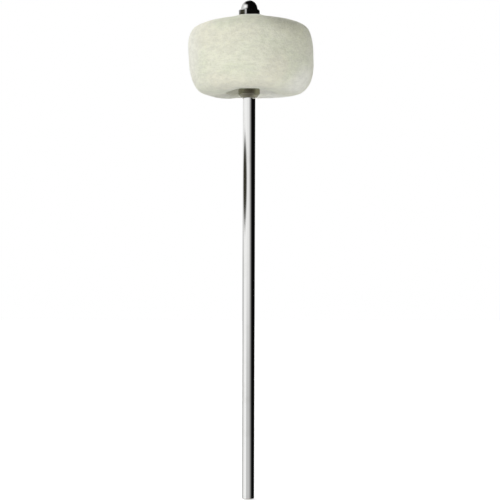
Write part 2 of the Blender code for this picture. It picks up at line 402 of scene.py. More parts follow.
# %% Oily thread
thread_steel, tree, shader, place, bright = plated_steel(
    "rolled thread steel", NUT_STEEL, clean=0.18, worn=0.4, stretch=(1200.0, 1200.0, 2400.0))
flat_place = add(tree, "ShaderNodeVectorMath", {0: place, 1: (1.0, 1.0, 0.0)}, operation="MULTIPLY")
depth = distance(tree, flat_place.outputs[0], (0.0, 0.0, 0.0))
oil = ease(tree, depth, THREAD_ROOT_RADIUS, THREAD_RADIUS, 1.0, 0.0)
oiled = blend_colour(tree, oil, bright, (*OIL_AND_PAINTED_SHADE, 1.0))
tree.links.new(oiled, shader.inputs["Base Color"])
print("thread finish:", thread_steel.name)

# %% [markdown]
# ## The rod
#
# The rod is one turned bar: a rounded foot, a long plain shank that the pedal grips, and a shoulder
# where it steps down to the stud. The long reflections only look right if the surface is truly
# round, so it gets 96 steps instead of the CAD model's 32, with its rims rolled over.

# %% Turn the rod
FOOT_ROUND = 0.5 * MM
RIM_ROUND = 0.12 * MM
rod = turned([
    (0.0, 0.0),
    *arc((ROD_RADIUS - FOOT_ROUND, FOOT_ROUND), FOOT_ROUND, -90, 0, 8),
    *arc((ROD_RADIUS - RIM_ROUND, SHOULDER - RIM_ROUND), RIM_ROUND, 0, 90, 4),
    (THREAD_ROOT_RADIUS, SHOULDER),
    (0.0, SHOULDER),
])
polished_rod = piece_from(rod, "polished_rod", "rod", rod_chrome, sharp=40)
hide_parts("shaft")

# %% [markdown]
# ## The threaded stud
#
# A thread is one groove wound up a bar. `spin` can climb as it turns, with its dvec value, so the
# section of a single tooth, spun upwards, makes one turn, and copies of it, each a pitch higher,
# meet exactly. Two cutting planes trim the ends square, and the top is then chamfered, which is what
# lets a nut start on it.

# %% Wind the thread
THREAD_STEPS = 48
STUD_CHAMFER = 0.45 * MM
CREST = 0.125 * THREAD_PITCH
ROOT = 0.2 * THREAD_PITCH


def wound_thread(low, high):
    """A helical tooth from below low to above high, trimmed to those heights and capped."""
    turns = math.ceil((high - low) / THREAD_PITCH) + 2
    start = low - THREAD_PITCH
    flank = (THREAD_PITCH - CREST - ROOT) / 2
    tooth = [
        (THREAD_ROOT_RADIUS, start),
        (THREAD_ROOT_RADIUS, start + ROOT),
        (THREAD_RADIUS, start + ROOT + flank),
        (THREAD_RADIUS, start + ROOT + flank + CREST),
        (THREAD_ROOT_RADIUS, start + THREAD_PITCH),
    ]
    bm = bmesh.new()
    points = [bm.verts.new((radius, 0.0, height)) for radius, height in tooth]
    edges = [bm.edges.new(pair) for pair in zip(points, points[1:])]
    bmesh.ops.spin(
        bm, geom=points + edges, cent=(0, 0, 0), axis=(0, 0, 1),
        dvec=(0, 0, THREAD_PITCH / THREAD_STEPS), angle=math.tau, steps=THREAD_STEPS,
    )
    first_turn = bm.verts[:] + bm.edges[:] + bm.faces[:]
    for turn in range(1, turns):
        copied = bmesh.ops.duplicate(bm, geom=first_turn)["geom"]
        raised = [item for item in copied if isinstance(item, bmesh.types.BMVert)]
        bmesh.ops.translate(bm, verts=raised, vec=(0, 0, turn * THREAD_PITCH))
    bmesh.ops.remove_doubles(bm, verts=bm.verts, dist=MERGE)
    for height, side in ((low, -1), (high, 1)):
        cut = bmesh.ops.bisect_plane(
            bm, geom=bm.verts[:] + bm.edges[:] + bm.faces[:], plane_co=(0, 0, height),
            plane_no=(0, 0, side), clear_outer=True, dist=MERGE,
        )
        rim = [item for item in cut["geom_cut"] if isinstance(item, bmesh.types.BMEdge)]
        bmesh.ops.contextual_create(bm, geom=rim)
    return bm


stud = wound_thread(SHOULDER, STUD_TOP)
for vert in stud.verts:
    radius = math.hypot(vert.co.x, vert.co.y)
    limit = THREAD_RADIUS - max(0.0, vert.co.z - (STUD_TOP - STUD_CHAMFER))
    if radius > limit:
        vert.co.x *= limit / radius
        vert.co.y *= limit / radius
print("stud thread closed:", all(edge.is_manifold for edge in stud.edges))
threaded_stud = piece_from(stud, "threaded_stud", "rod", thread_steel, sharp=40)

# %% [markdown]
# ## Nuts, made as a machinist makes them
#
# A nut starts as a round blank whose rims are chamfered by a cone, and six flats are milled in to
# it. Where a flat cuts the cone it leaves the curved edge that every real nut has. We do the same:
# spin the blank, then press each point of its outer wall in to the nearest flat and slide it along
# the cone. A hexagon's side is a short formula, in which the corners can be rounded and the flats
# buffed to a slight curve. 240 steps are a multiple of six, so all six sides get the same points.
# The lower nut has a deeper chamfer at its foot, because the photograph shows it tapering there.

# %% Mill six flats
CHAMFER_SLOPE = math.tan(math.radians(30))
HALF_FLAT = math.radians(30)
NUT_STEPS = 240
NUT_RIM_ROUND = 0.04 * MM


def flat_radius(angle, corner, crown):
    """Distance from the axis to a hexagon's side, with rounded corners and a buffed middle."""
    off_middle = abs((angle + HALF_FLAT) % (2 * HALF_FLAT) - HALF_FLAT)
    off_corner = HALF_FLAT - off_middle
    centre = (NUT_FLAT_RADIUS - corner) / math.cos(HALF_FLAT)
    if off_middle < math.atan(centre * math.sin(HALF_FLAT) / NUT_FLAT_RADIUS):
        wall = NUT_FLAT_RADIUS / math.cos(off_middle)
    else:
        beside = centre * math.sin(off_corner)
        wall = centre * math.cos(off_corner) + math.sqrt(corner ** 2 - beside ** 2)
    return wall + crown * (1 - (off_middle / HALF_FLAT) ** 2)


def mill_flats(bm, top_rule, bottom_rule, turn, corner, crown=0.0):
    """Presses the outer wall to a hexagon. The two rules give a rim's height at a radius."""
    top_rim = top_rule(NUT_CORNER_RADIUS) - MERGE
    bottom_rim = bottom_rule(NUT_CORNER_RADIUS) + MERGE
    for vert in bm.verts:
        angle = math.atan2(vert.co.y, vert.co.x)
        wall = flat_radius(angle, corner, crown)
        if math.hypot(vert.co.x, vert.co.y) > wall:
            height = vert.co.z
            if height > top_rim:
                height = top_rule(wall)
            elif height < bottom_rim:
                height = bottom_rule(wall)
            vert.co = (wall * math.cos(angle), wall * math.sin(angle), height)
    bmesh.ops.remove_doubles(bm, verts=bm.verts, dist=MERGE)
    round_rims(bm, NUT_RIM_ROUND)
    bmesh.ops.rotate(bm, verts=bm.verts, cent=(0, 0, 0), matrix=Matrix.Rotation(turn, 3, "Z"))


# %% The nut under the head
LOWER_NUT_TURN = math.radians(22)
LOWER_NUT_CORNER = 0.32 * MM
BORE_COUNTERSINK = 0.35 * MM
FOOT_FACE_RADIUS = 3.8 * MM
FOOT_SLOPE = math.tan(math.radians(50))


def lower_top(radius):
    """Height of the lower nut's top face and chamfer."""
    return lower_nut_high.z - max(0.0, radius - NUT_FACE_RADIUS) * CHAMFER_SLOPE


def lower_bottom(radius):
    """Height of the lower nut's foot and chamfer."""
    return lower_nut_low.z + max(0.0, radius - FOOT_FACE_RADIUS) * FOOT_SLOPE


blank = turned([
    (NUT_BORE_RADIUS, lower_nut_high.z - BORE_COUNTERSINK),
    (NUT_BORE_RADIUS + BORE_COUNTERSINK, lower_nut_high.z),
    (NUT_FACE_RADIUS, lower_nut_high.z),
    (NUT_CORNER_RADIUS, lower_top(NUT_CORNER_RADIUS)),
    (NUT_CORNER_RADIUS, lower_bottom(NUT_CORNER_RADIUS)),
    (FOOT_FACE_RADIUS, lower_nut_low.z),
    (NUT_BORE_RADIUS + BORE_COUNTERSINK, lower_nut_low.z),
    (NUT_BORE_RADIUS, lower_nut_low.z + BORE_COUNTERSINK),
], steps=NUT_STEPS, closed=True)
mill_flats(blank, lower_top, lower_bottom, LOWER_NUT_TURN, LOWER_NUT_CORNER)
plated_nut = piece_from(blank, "plated_lower_nut", "rod", nut_steel, sharp=20)
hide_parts("lower_nut")

# %% [markdown]
# ## The cap nut
#
# The cap nut is the bright ball that the photograph shows on top. It is the same milled hexagon,
# with a blind bore under it and a dome above. The dome stands just over the hexagon on a small
# fillet and is a little taller than half a ball, so its arc is stretched upwards. Real cap nuts are
# often pressed from two parts; one turned bar gives the same outside with less work.

# %% The cap nut on top
CAP_NUT_TURN = math.radians(-15)
CAP_NUT_CORNER = 0.85 * MM
SHOULDER_RADIUS = CAP_DOME_RADIUS + 0.25 * MM
NECK_FILLET = 0.15 * MM
BUFFED_CROWN = 0.12 * MM
BORE_TOP = cap_low.z + 6.6 * MM
DRILL_POINT = 1.4 * MM
DOME_FOOT = CAP_HEX_TOP + NECK_FILLET
DOME_STRETCH = (cap_high.z - DOME_FOOT) / CAP_DOME_RADIUS


def cap_top(radius):
    """Height of the shoulder that carries the dome."""
    return CAP_HEX_TOP - max(0.0, radius - SHOULDER_RADIUS) * CHAMFER_SLOPE


def cap_bottom(radius):
    """Height of the face that the washer meets, and of its chamfer."""
    return cap_low.z + max(0.0, radius - NUT_FACE_RADIUS) * CHAMFER_SLOPE


dome = list(arc((0.0, 0.0), CAP_DOME_RADIUS, 90, 0, 22))
blank = turned([
    *((out, DOME_FOOT + DOME_STRETCH * up) for out, up in dome[:-1]),
    *arc((CAP_DOME_RADIUS + NECK_FILLET, CAP_HEX_TOP + NECK_FILLET), NECK_FILLET, 180, 270, 4),
    (NUT_CORNER_RADIUS, cap_top(NUT_CORNER_RADIUS)),
    (NUT_CORNER_RADIUS, cap_bottom(NUT_CORNER_RADIUS)),
    (NUT_FACE_RADIUS, cap_low.z),
    (NUT_BORE_RADIUS + BORE_COUNTERSINK, cap_low.z),
    (NUT_BORE_RADIUS, cap_low.z + BORE_COUNTERSINK),
    (NUT_BORE_RADIUS, BORE_TOP),
    (0.0, BORE_TOP + DRILL_POINT),
], steps=NUT_STEPS)
mill_flats(blank, cap_top, cap_bottom, CAP_NUT_TURN, CAP_NUT_CORNER, BUFFED_CROWN)
polished_cap = piece_from(blank, "polished_cap_nut", "nut", cap_chrome, sharp=20)
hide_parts("cap_nut")

# %% [markdown]
# ## Washers
#
# A washer is punched from sheet: the punch rolls the rim over on one side and leaves a crisper edge
# on the other. A turned ring with rounds of two sizes shows that, and costs almost nothing.

# %% Punch two washers
ROLLED_RIM = 0.35 * MM
CRISP_RIM = 0.08 * MM


def punched_washer(name, body, low, high, cad_node):
    """A washer between two heights, with its rolled rim up."""
    rolled_out = WASHER_RADIUS - ROLLED_RIM
    crisp_out = WASHER_RADIUS - CRISP_RIM
    crisp_in = WASHER_HOLE_RADIUS + CRISP_RIM
    ring = turned([
        *arc((crisp_in, high.z - CRISP_RIM), CRISP_RIM, 180, 90, 3),
        *arc((rolled_out, high.z - ROLLED_RIM), ROLLED_RIM, 90, 0, 6),
        *arc((crisp_out, low.z + CRISP_RIM), CRISP_RIM, 0, -90, 3),
        *arc((crisp_in, low.z + CRISP_RIM), CRISP_RIM, -90, -180, 3),
    ], closed=True)
    washer = piece_from(ring, name, body, washer_steel, sharp=40)
    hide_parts(cad_node)


punched_washer("punched_lower_washer", "rod", lower_washer_low, lower_washer_high, "lower_washer")
punched_washer("punched_upper_washer", "washer", upper_washer_low, upper_washer_high, "upper_washer")

# %% [markdown]
# ## Wool felt
#
# The head is pressed wool: cream, a little green, matt and softly hairy. Three things make it felt
# and not plaster. Fibres lie in the surface every way, so thin ridges of stretched noise cross each
# other at several angles. The wool is uneven, so broad noise shifts its colour. And its hairs catch
# light at the rim, which is what the Principled shader's sheen is for. Light and shade are also
# painted into the colour in set places: painted light at the left, at the lower right and on the
# hollow's right, and painted shade on the top right, in the hollow's far left and on the underside
# behind it.

# %% Matted fibres
matted_fibres, given, result = new_group("matted fibres", [
    ("Vector", "NodeSocketVector", None),
    ("Fibre Scale", "NodeSocketFloat", 1400.0),
    ("Slenderness", "NodeSocketFloat", 0.14),
], [
    ("Fibres", "NodeSocketFloat"),
    ("Creases", "NodeSocketFloat"),
])
LAY_ANGLES = ((8, 0, 5), (-6, 25, 40), (10, -30, -35), (-12, 5, 88), (5, 40, 120), (0, -52, -8))
STRAND_RANGE = (0.56, 0.74)
CREASE_RANGE = (0.36, 0.24)
slender = add(matted_fibres, "ShaderNodeCombineXYZ", {
    0: given["Slenderness"], 1: 1.0, 2: 1.0,
}).outputs[0]
for number, turn in enumerate(LAY_ANGLES):
    angles = tuple(math.radians(angle) for angle in turn)
    laid = stretched(matted_fibres, given["Vector"], slender, angles)
    level = fine_noise(matted_fibres, laid, given["Fibre Scale"], detail=1.5, roughness=0.55)
    strand = ease(matted_fibres, level, *STRAND_RANGE)
    crease = ease(matted_fibres, level, *CREASE_RANGE)
    fibres = strand if number == 0 else maths(matted_fibres, "MAXIMUM", fibres, strand)
    creases = crease if number == 0 else maths(matted_fibres, "MAXIMUM", creases, crease)
matted_fibres.links.new(fibres, result.inputs["Fibres"])
matted_fibres.links.new(creases, result.inputs["Creases"])
print("matted fibres:", len(LAY_ANGLES), "lays,", len(matted_fibres.nodes), "nodes")

# %% The felt's colours
CREAM = (0.80, 0.805, 0.65)
GREENISH = (0.76, 0.785, 0.61)
WARM = (0.805, 0.79, 0.64)
FIBRE_LIGHT = (0.88, 0.875, 0.78)
CREASE_DARK = (0.60, 0.60, 0.46)
PAINTED_LIGHT_AND_SHADE_SHARE = 0.8
# Painted light and shade on the felt. Each place: its middle, how far it is full, where it is gone,
# and its tone. Pale tones are painted light, and dark tones are painted shade.
PAINTED_LIGHT_AND_SHADE_PLACES = (
    ((-31.0 * MM, -8.0 * MM, 222.0 * MM), 5.0 * MM, 19.0 * MM, (0.85, 0.85, 0.75)),
    ((24.0 * MM, -15.0 * MM, 239.0 * MM), 4.0 * MM, 21.0 * MM, (0.66, 0.66, 0.46)),
    ((16.0 * MM, -22.0 * MM, 243.0 * MM), 7.0 * MM, 16.0 * MM, (0.52, 0.52, 0.38)),
    ((26.0 * MM, -14.0 * MM, 206.0 * MM), 3.0 * MM, 14.0 * MM, (0.92, 0.92, 0.85)),
    ((-8.5 * MM, 6.0 * MM, 206.2 * MM), 3.0 * MM, 9.0 * MM, (0.27, 0.27, 0.18)),
    ((-14.0 * MM, 14.0 * MM, 204.5 * MM), 5.0 * MM, 15.0 * MM, (0.50, 0.50, 0.40)),
    ((9.0 * MM, 9.0 * MM, 206.0 * MM), 5.0 * MM, 13.0 * MM, (0.95, 0.95, 0.88)),
)

# %% Colour the wool
PATCH_RANGE = (0.42, 0.66)
BLUSH_RANGE = (0.46, 0.60)
MOTTLE_RANGE = (0.34, 0.66)
MOTTLE_SHADES = (0.91, 1.07)
wool_felt, tree, shader, place = new_material("pressed wool felt", CREAM, 0.95, 0.0)
clumps = use_group(tree, matted_fibres, {"Vector": place, "Fibre Scale": 1300.0, "Slenderness": 0.16})
hairs = use_group(tree, matted_fibres, {"Vector": place, "Fibre Scale": 5200.0, "Slenderness": 0.07})
patches = fine_noise(tree, place, 75.0, detail=3.0)
blush = fine_noise(tree, place, 34.0, detail=1.0)
colour = blend_colour(tree, ease(tree, patches, *PATCH_RANGE), (*CREAM, 1.0), (*GREENISH, 1.0))
colour = blend_colour(tree, ease(tree, blush, *BLUSH_RANGE), colour, (*WARM, 1.0))
# Painted light and shade: each place blends the wool towards its tone, paler as painted light and
# darker as painted shade.
for middle, full, gone, tone in PAINTED_LIGHT_AND_SHADE_PLACES:
    handled = ease(tree, distance(tree, place, middle), full, gone, PAINTED_LIGHT_AND_SHADE_SHARE, 0.0)
    colour = blend_colour(tree, handled, colour, (*tone, 1.0))
mottle = fine_noise(tree, stretched(tree, place, (0.5, 0.5, 1.0)), 520.0, detail=4.0, roughness=0.6)
shade = ease(tree, mottle, *MOTTLE_RANGE, *MOTTLE_SHADES)
colour = blend_colour(tree, 1.0, colour, grey(tree, shade), "MULTIPLY")
for marks, light_share, dark_share in ((clumps, 0.38, 0.42), (hairs, 0.5, 0.34)):
    dark = maths(tree, "MULTIPLY", marks["Creases"], dark_share)
    colour = blend_colour(tree, dark, colour, (*CREASE_DARK, 1.0))
    light = maths(tree, "MULTIPLY", marks["Fibres"], light_share)
    colour = blend_colour(tree, light, colour, (*FIBRE_LIGHT, 1.0))

# %% Raise the fibres
FINE_RELIEF_SHARE = 0.35
FELT_RELIEF = 0.12 * MM
relief = maths(tree, "SUBTRACT", clumps["Fibres"], clumps["Creases"])
fine_relief = maths(tree, "SUBTRACT", hairs["Fibres"], hairs["Creases"])
broad_height = maths(tree, "ADD", relief, mottle)
fine_height = maths(tree, "MULTIPLY", fine_relief, FINE_RELIEF_SHARE)
height = maths(tree, "ADD", broad_height, fine_height)
bump = add(tree, "ShaderNodeBump", {"Strength": 0.6, "Distance": FELT_RELIEF, "Height": height})
tree.links.new(colour, shader.inputs["Base Color"])
tree.links.new(bump.outputs["Normal"], shader.inputs["Normal"])
shader.inputs["Sheen Weight"].default_value = 0.4
shader.inputs["Sheen Roughness"].default_value = 0.4
shader.inputs["Specular IOR Level"].default_value = 0.2
# The handled places that this print counts are places of painted light and shade.
print("felt finish:", len(tree.nodes), "nodes,", len(PAINTED_LIGHT_AND_SHADE_PLACES), "handled places")

# %% [markdown]
# ## The shape of the head
#
# Felt heads are cut from thick sheet and pressed in a die, so the outline is a squarish oval. A
# superellipse, an ellipse with its power raised above 2, gives that corner with four numbers, and a
# low crown rises to the cap nut. Underneath, a hollow takes the nut. The pressed felt is never
# true, so the outer skin then leans, droops and swells a little, while the bore stays on the stud.
# In front the top edge has a raised lip and the hollow's rim is arched, and at the back left the
# underside sags. A sculpted mesh could show this too, but numbers can be read and changed.

# %% The felt's numbers
FELT_RADIUS = 31.2 * MM
FELT_TOP = 16.3 * MM
FELT_BOTTOM = 18.0 * MM
TOP_FULLNESS = (9.0, 4.1)
BOTTOM_FULLNESS = (8.8, 2.15)
FELT_CROWN = 1.5 * MM
HOLLOW_DEPTH = 4.7 * MM
HOLLOW_RADIUS = 13.5 * MM
FLOOR = lower_washer_high.z + TOUCH
FELT_FOOT = lower_washer_high.z + SEAT_GAP - HOLLOW_DEPTH
FELT_MIDDLE = FELT_FOOT + FELT_BOTTOM
SEAT = upper_washer_low.z - TOUCH


def skin_rise(radius, height, fullness):
    """Height of a superellipse over its middle plane."""
    across, upward = fullness
    share = min(1.0, radius / FELT_RADIUS)
    return height * (1 - share ** across) ** (1 / upward)


def top_skin(radius):
    """Height of the head's upper side."""
    crown = FELT_CROWN * (1 - (radius / FELT_RADIUS) ** 2)
    return FELT_MIDDLE + crown + skin_rise(radius, FELT_TOP, TOP_FULLNESS)


def bottom_skin(radius):
    """Height of the head's underside, without its hollow."""
    return FELT_MIDDLE - skin_rise(radius, FELT_BOTTOM, BOTTOM_FULLNESS)


# %% The felt's outline
def smooth_step(share):
    """0 to 1 with soft ends."""
    share = min(max(share, 0.0), 1.0)
    return share * share * (3 - 2 * share)


def soft_slope(inner, outer, points):
    """Points of an eased slope between two (radius, height) points."""
    for i in range(points + 1):
        share = i / points
        yield (
            inner[0] + (outer[0] - inner[0]) * share,
            inner[1] + (outer[1] - inner[1]) * smooth_step(share),
        )


def corner_radii(flat_radius_share, fullness, points):
    """Radii that crowd together where the skin turns most, from the flat out to the side."""
    across = fullness[0]
    last = math.acos(flat_radius_share ** (across / 2))
    return [FELT_RADIUS * math.cos(last * (1 - i / points)) ** (2 / across) for i in range(points + 1)]


SEAT_RIM = WASHER_RADIUS + 0.4 * MM
SEAT_EDGE = WASHER_RADIUS + 3.0 * MM
TOP_FLAT = 17 * MM
BOTTOM_FLAT = 18 * MM
SLOPE_FOOT = WASHER_RADIUS + 1.5 * MM
FLAT_RING = 4.5 * MM
HOLLOW_LIP = 0.35 * MM
CORNER_POINTS = 26
top_flat_radii = [SEAT_EDGE + (TOP_FLAT - SEAT_EDGE) * i / 8 for i in range(1, 8)]
top_corner = corner_radii(TOP_FLAT / FELT_RADIUS, TOP_FULLNESS, CORNER_POINTS)
bottom_corner = corner_radii(BOTTOM_FLAT / FELT_RADIUS, BOTTOM_FULLNESS, CORNER_POINTS)
felt_outline = [(WASHER_HOLE_RADIUS, SEAT), (FLAT_RING, SEAT)]
felt_outline += soft_slope((SEAT_RIM, SEAT), (SEAT_EDGE, top_skin(SEAT_EDGE)), 8)
felt_outline += [(radius, top_skin(radius)) for radius in top_flat_radii + top_corner]
felt_outline += [(radius, bottom_skin(radius)) for radius in reversed(bottom_corner[:-1])]
felt_outline += reversed(list(soft_slope(
    (SLOPE_FOOT, FLOOR), (HOLLOW_RADIUS, bottom_skin(HOLLOW_RADIUS) + HOLLOW_LIP), 12)))
felt_outline += [(FLAT_RING, FLOOR), (WASHER_HOLE_RADIUS, FLOOR)]
print("felt outline:", len(felt_outline), "points")

# %% Press the head out of true
OFF_CENTRE = 0.9 * MM
LEAN = 0.045
TOP_TILT = 0.016
DROOP = 0.6 * MM
CORE_RADIUS = 8 * MM
LUMP = 0.16 * MM
LUMP_WIDTH = 9 * MM
GRAIN = 0.05 * MM
GRAIN_WIDTH = 2.2 * MM
FELT_STEPS = 168
# Each swell: the way that it faces, how far it rises, and how narrow it is.
SWELLS = (
    (Vector((1.0, 0.0, 1.0)), 0.6 * MM, 8),
    (Vector((1.0, 0.0, -0.2)), 0.45 * MM, 10),
    (Vector((1.0, 0.0, -0.6)), -0.5 * MM, 8),
    (Vector((-1.0, 0.0, 1.0)), 0.5 * MM, 16),
    (Vector((-1.0, 0.0, 0.6)), -0.25 * MM, 12),
    (Vector((-1.0, 0.0, 0.3)), 0.2 * MM, 16),
    (Vector((-0.8, 0.0, -1.0)), 0.35 * MM, 8),
)
LIP = {"middle": (0.0, -22.0 * MM), "reach": (8.0 * MM, 10.0 * MM), "edge": (4.0 * MM, 10.0 * MM)}
LIP_RISE = 0.62 * MM
SAG = {"middle": (-15.5 * MM, 17.0 * MM), "reach": (8.5 * MM, 14.0 * MM), "edge": (6.0 * MM, 14.0 * MM)}
SAG_DROP = 0.62 * MM
ARCH = {"middle": (-0.5 * MM, -14.0 * MM), "reach": (11.3 * MM, 8.0 * MM), "edge": (6.0 * MM, 6.0 * MM)}
ARCH_RISE = 1.0 * MM


def bulge(x, y, middle, reach, edge):
    """1 in the middle of a bulge, eased to 0 at its reach along X and along Y."""
    across = smooth_step((reach[0] - abs(x - middle[0])) / edge[0])
    along = smooth_step((reach[1] - abs(y - middle[1])) / edge[1])
    return across * along


# %% Press it
felt = turned(felt_outline, steps=FELT_STEPS, closed=True)
felt.normal_update()
for vert in felt.verts:
    x, y, z = vert.co
    rise = z - FELT_MIDDLE
    loose = smooth_step((math.hypot(x, y) - CORE_RADIUS) / CORE_RADIUS)
    lump = LUMP * noise.noise(vert.co / LUMP_WIDTH) + GRAIN * noise.noise(vert.co / GRAIN_WIDTH)
    for toward, depth, focus in SWELLS:
        lump += depth * max(0.0, vert.normal.dot(toward.normalized())) ** focus
    if rise > 0:
        lift = LIP_RISE * bulge(x, y, **LIP)
    else:
        lift = ARCH_RISE * bulge(x, y, **ARCH) - SAG_DROP * bulge(x, y, **SAG)
    vert.co += loose * lump * vert.normal
    vert.co.x += loose * (OFF_CENTRE - LEAN * rise)
    vert.co.z += loose * (lift + TOP_TILT * x * smooth_step(rise / FELT_TOP))
    vert.co.z -= loose * DROOP * (x * x - y * y) / FELT_RADIUS ** 2
felt_head = piece_from(felt, "pressed_felt_head", "head", wool_felt, sharp=180)
rounder = felt_head.modifiers.new("Rounder", "SUBSURF")
rounder.levels = 1
rounder.render_levels = 1
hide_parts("felt_head")

# %% [markdown]
# ## Loose fibres
#
# Pressed wool sheds short hairs. From a step away they only soften the outline, and close by they
# are what tells felt from plaster. Blender's hair system would grow thousands, but it doesn't
# export as a mesh. So a few bent three-sided hairs are made once, and each is set down many times
# on faces picked by their area, leaning well over towards the skin. The list of faces comes in
# another order on each run, so it is sorted by place before the seeded draw.

# %% Make one bent hair
HAIR_RADIUS = 0.025 * MM
HAIR_TIP_SHARE = 0.3
HAIR_SHAPES = ((0.8, 0.35), (1.1, 0.3), (1.4, 0.45), (1.8, 0.4))
print("hair lengths in mm:", [length for length, bend in HAIR_SHAPES])


def bent_hair(length, bend):
    """A three-sided hair that stands up from the origin and curls over towards +X."""
    bm = bmesh.new()
    bmesh.ops.create_cone(
        bm, cap_ends=True, segments=3, depth=length,
        radius1=HAIR_RADIUS, radius2=HAIR_RADIUS * HAIR_TIP_SHARE,
    )
    long_edges = [edge for edge in bm.edges if edge.calc_length() > length / 2]
    bmesh.ops.subdivide_edges(bm, edges=long_edges, cuts=2, use_grid_fill=True)
    for vert in bm.verts:
        share = vert.co.z / length + 0.5
        vert.co.x += bend * length * share ** 2
        vert.co.z = length * share * (1 - 0.5 * bend * share)
    return bm


# %% Set the hairs on the felt
HAIR_SEED = 11
HAIR_COUNT = 1500
HAIR_LIFT = math.radians(24)
HAIR_ROOT = 0.06 * MM
BARE_RADIUS = 17 * MM
draw = random.Random(HAIR_SEED)
hairs_at_hand = [bent_hair(length * MM, bend) for length, bend in HAIR_SHAPES]
skin = [
    face for face in felt_head.data.polygons
    if math.hypot(face.center.x, face.center.y) > BARE_RADIUS
]
skin.sort(key=lambda face: [round(side / MM, 2) for side in face.center])
chosen = draw.choices(skin, weights=[face.area for face in skin], k=HAIR_COUNT)
fuzz = bmesh.new()
one_hair = bpy.data.meshes.new("one_hair")
for face in chosen:
    out = face.normal
    lying = out.orthogonal().normalized()
    lying.rotate(Matrix.Rotation(draw.uniform(0, math.tau), 3, out))
    along = lying * math.cos(HAIR_LIFT) + out * math.sin(HAIR_LIFT)
    towards_skin = -(out - along * out.dot(along)).normalized()
    turn = Matrix((towards_skin, along.cross(towards_skin), along)).transposed().to_4x4()
    hair = draw.choice(hairs_at_hand).copy()
    seated = Matrix.Translation(face.center - HAIR_ROOT * out) @ turn
    bmesh.ops.transform(hair, verts=hair.verts, matrix=seated)
    hair.to_mesh(one_hair)
    fuzz.from_mesh(one_hair)
    hair.free()
bpy.data.meshes.remove(one_hair)
for hair in hairs_at_hand:
    hair.free()
felt_fuzz = piece_from(fuzz, "felt_fuzz", "head", wool_felt, sharp=180)

# %% [markdown]
# ## The camera
#
# The photograph looks level, from half the beater's height and from close enough that the head is
# seen a little from below. The lens follows from the distance and from the height that the picture
# takes in. The beater leans by a hair in the photograph, so the camera is rolled by as much.

# %% The camera
IMAGE_SIDE = 500
VIEW_HEIGHT = 251.5 * MM
VIEW_DISTANCE = 0.6
SENSOR = 36.0
CAMERA_PLACE = (0.65 * MM, -VIEW_DISTANCE, 125 * MM)
CAMERA_ROLL = math.radians(-0.14)
camera_data = bpy.data.cameras.new("camera")
camera_data.sensor_width = SENSOR
camera_data.lens = SENSOR * VIEW_DISTANCE / VIEW_HEIGHT
camera_data.clip_start = 0.01
camera = bpy.data.objects.new("camera", camera_data)
camera.location = CAMERA_PLACE
camera.rotation_euler = (math.radians(90), CAMERA_ROLL, 0)
bpy.context.scene.collection.objects.link(camera)
bpy.context.scene.camera = camera
print("one pixel is", round(VIEW_HEIGHT / IMAGE_SIDE / MM, 3), "mm at the rod")

# %% [markdown]
# ## What the metal sees
#
# Chrome has hardly any colour of its own: its look is a picture of the room. The world holds a
# painted room, given in degrees by the bearing round the part and the climb above the horizon. Real
# cards and lamps would do it too, but soft masks in one node group add no objects, and each is moved
# by a number. Pale walls stand in front and to the left, a dark wall to the right, and a dark
# ceiling hangs over all but a window at the upper left. Two small dark cards give the rod and the
# cap nut the olive marks that they have in the photograph, and the ground is a pale grey. Camera and
# transmission rays see plain white instead, as the photograph's background is.

# %% Directions in the room
# Bearings in degrees: 0 is in front of the part, -90 at its left, 90 at its right and 180 behind it.
studio, given, result = new_group("studio surroundings", [], [("Light", "NodeSocketColor")])
outlook = studio.nodes.new("ShaderNodeTexCoord").outputs["Generated"]
way = add(studio, "ShaderNodeSeparateXYZ", {0: outlook}).outputs
behind = maths(studio, "MULTIPLY", way["Y"], -1.0)
bearing = maths(studio, "DEGREES", maths(studio, "ARCTAN2", way["X"], behind))
climb = maths(studio, "DEGREES", maths(studio, "ARCSINE", way["Z"]))


def leaning(lean):
    """The bearing, shifted by lean degrees for each degree of climb."""
    return maths(studio, "ADD", bearing, maths(studio, "MULTIPLY", climb, lean))


def wall(rise_start, rise_end, fall_start, fall_end, rise_lean=0.0, fall_lean=0.0):
    """1 between two bearings, with a soft edge of its own on each side."""
    rise = ease(studio, leaning(rise_lean), rise_start, rise_end)
    fall = ease(studio, leaning(fall_lean), fall_start, fall_end, 1.0, 0.0)
    return maths(studio, "MULTIPLY", rise, fall)


def card(middle_bearing, middle_climb, half_width, half_height, softness=0.5):
    """1 inside an oval card."""
    across = maths(studio, "DIVIDE", maths(studio, "SUBTRACT", bearing, middle_bearing), half_width)
    upward = maths(studio, "DIVIDE", maths(studio, "SUBTRACT", climb, middle_climb), half_height)
    away = maths(studio, "ADD", maths(studio, "POWER", maths(studio, "ABSOLUTE", across), 2.0),
                 maths(studio, "POWER", maths(studio, "ABSOLUTE", upward), 2.0))
    return ease(studio, away, 1 - softness, 1 + softness, 1.0, 0.0)


# %% Paint the room
BLACK = (0.003, 0.003, 0.003, 1.0)
OLIVE = (0.042, 0.040, 0.028, 1.0)
GROUND = (0.60, 0.60, 0.57, 1.0)
front = wall(-44, -32, 170, 175)
front_level = ease(studio, climb, -8.0, 1.5, 0.60, 0.92)
far_left = wall(-181, -171, -102, -92)
left_level = ease(studio, climb, -2.0, 5.0, 0.60, 0.90)
upper = ease(studio, climb, 7.0, 9.0)
window = maths(studio, "MULTIPLY", upper, wall(-100, -80, 175, 185))
window_level = ease(studio, climb, 9.0, 20.0, 0.62, 1.0)
window_side = maths(studio, "MULTIPLY", upper, wall(-181, -171, -100, -80))
side_level = ease(studio, climb, 9.0, 17.0, 0.25, 0.68)
dark_side = wall(-8, 58, 147, 161, rise_lean=0.9, fall_lean=-1.8)
above = ease(studio, climb, 7.5, 10.5)
dark_ceiling = maths(studio, "MULTIPLY", above, wall(-50, -14, 175, 185))
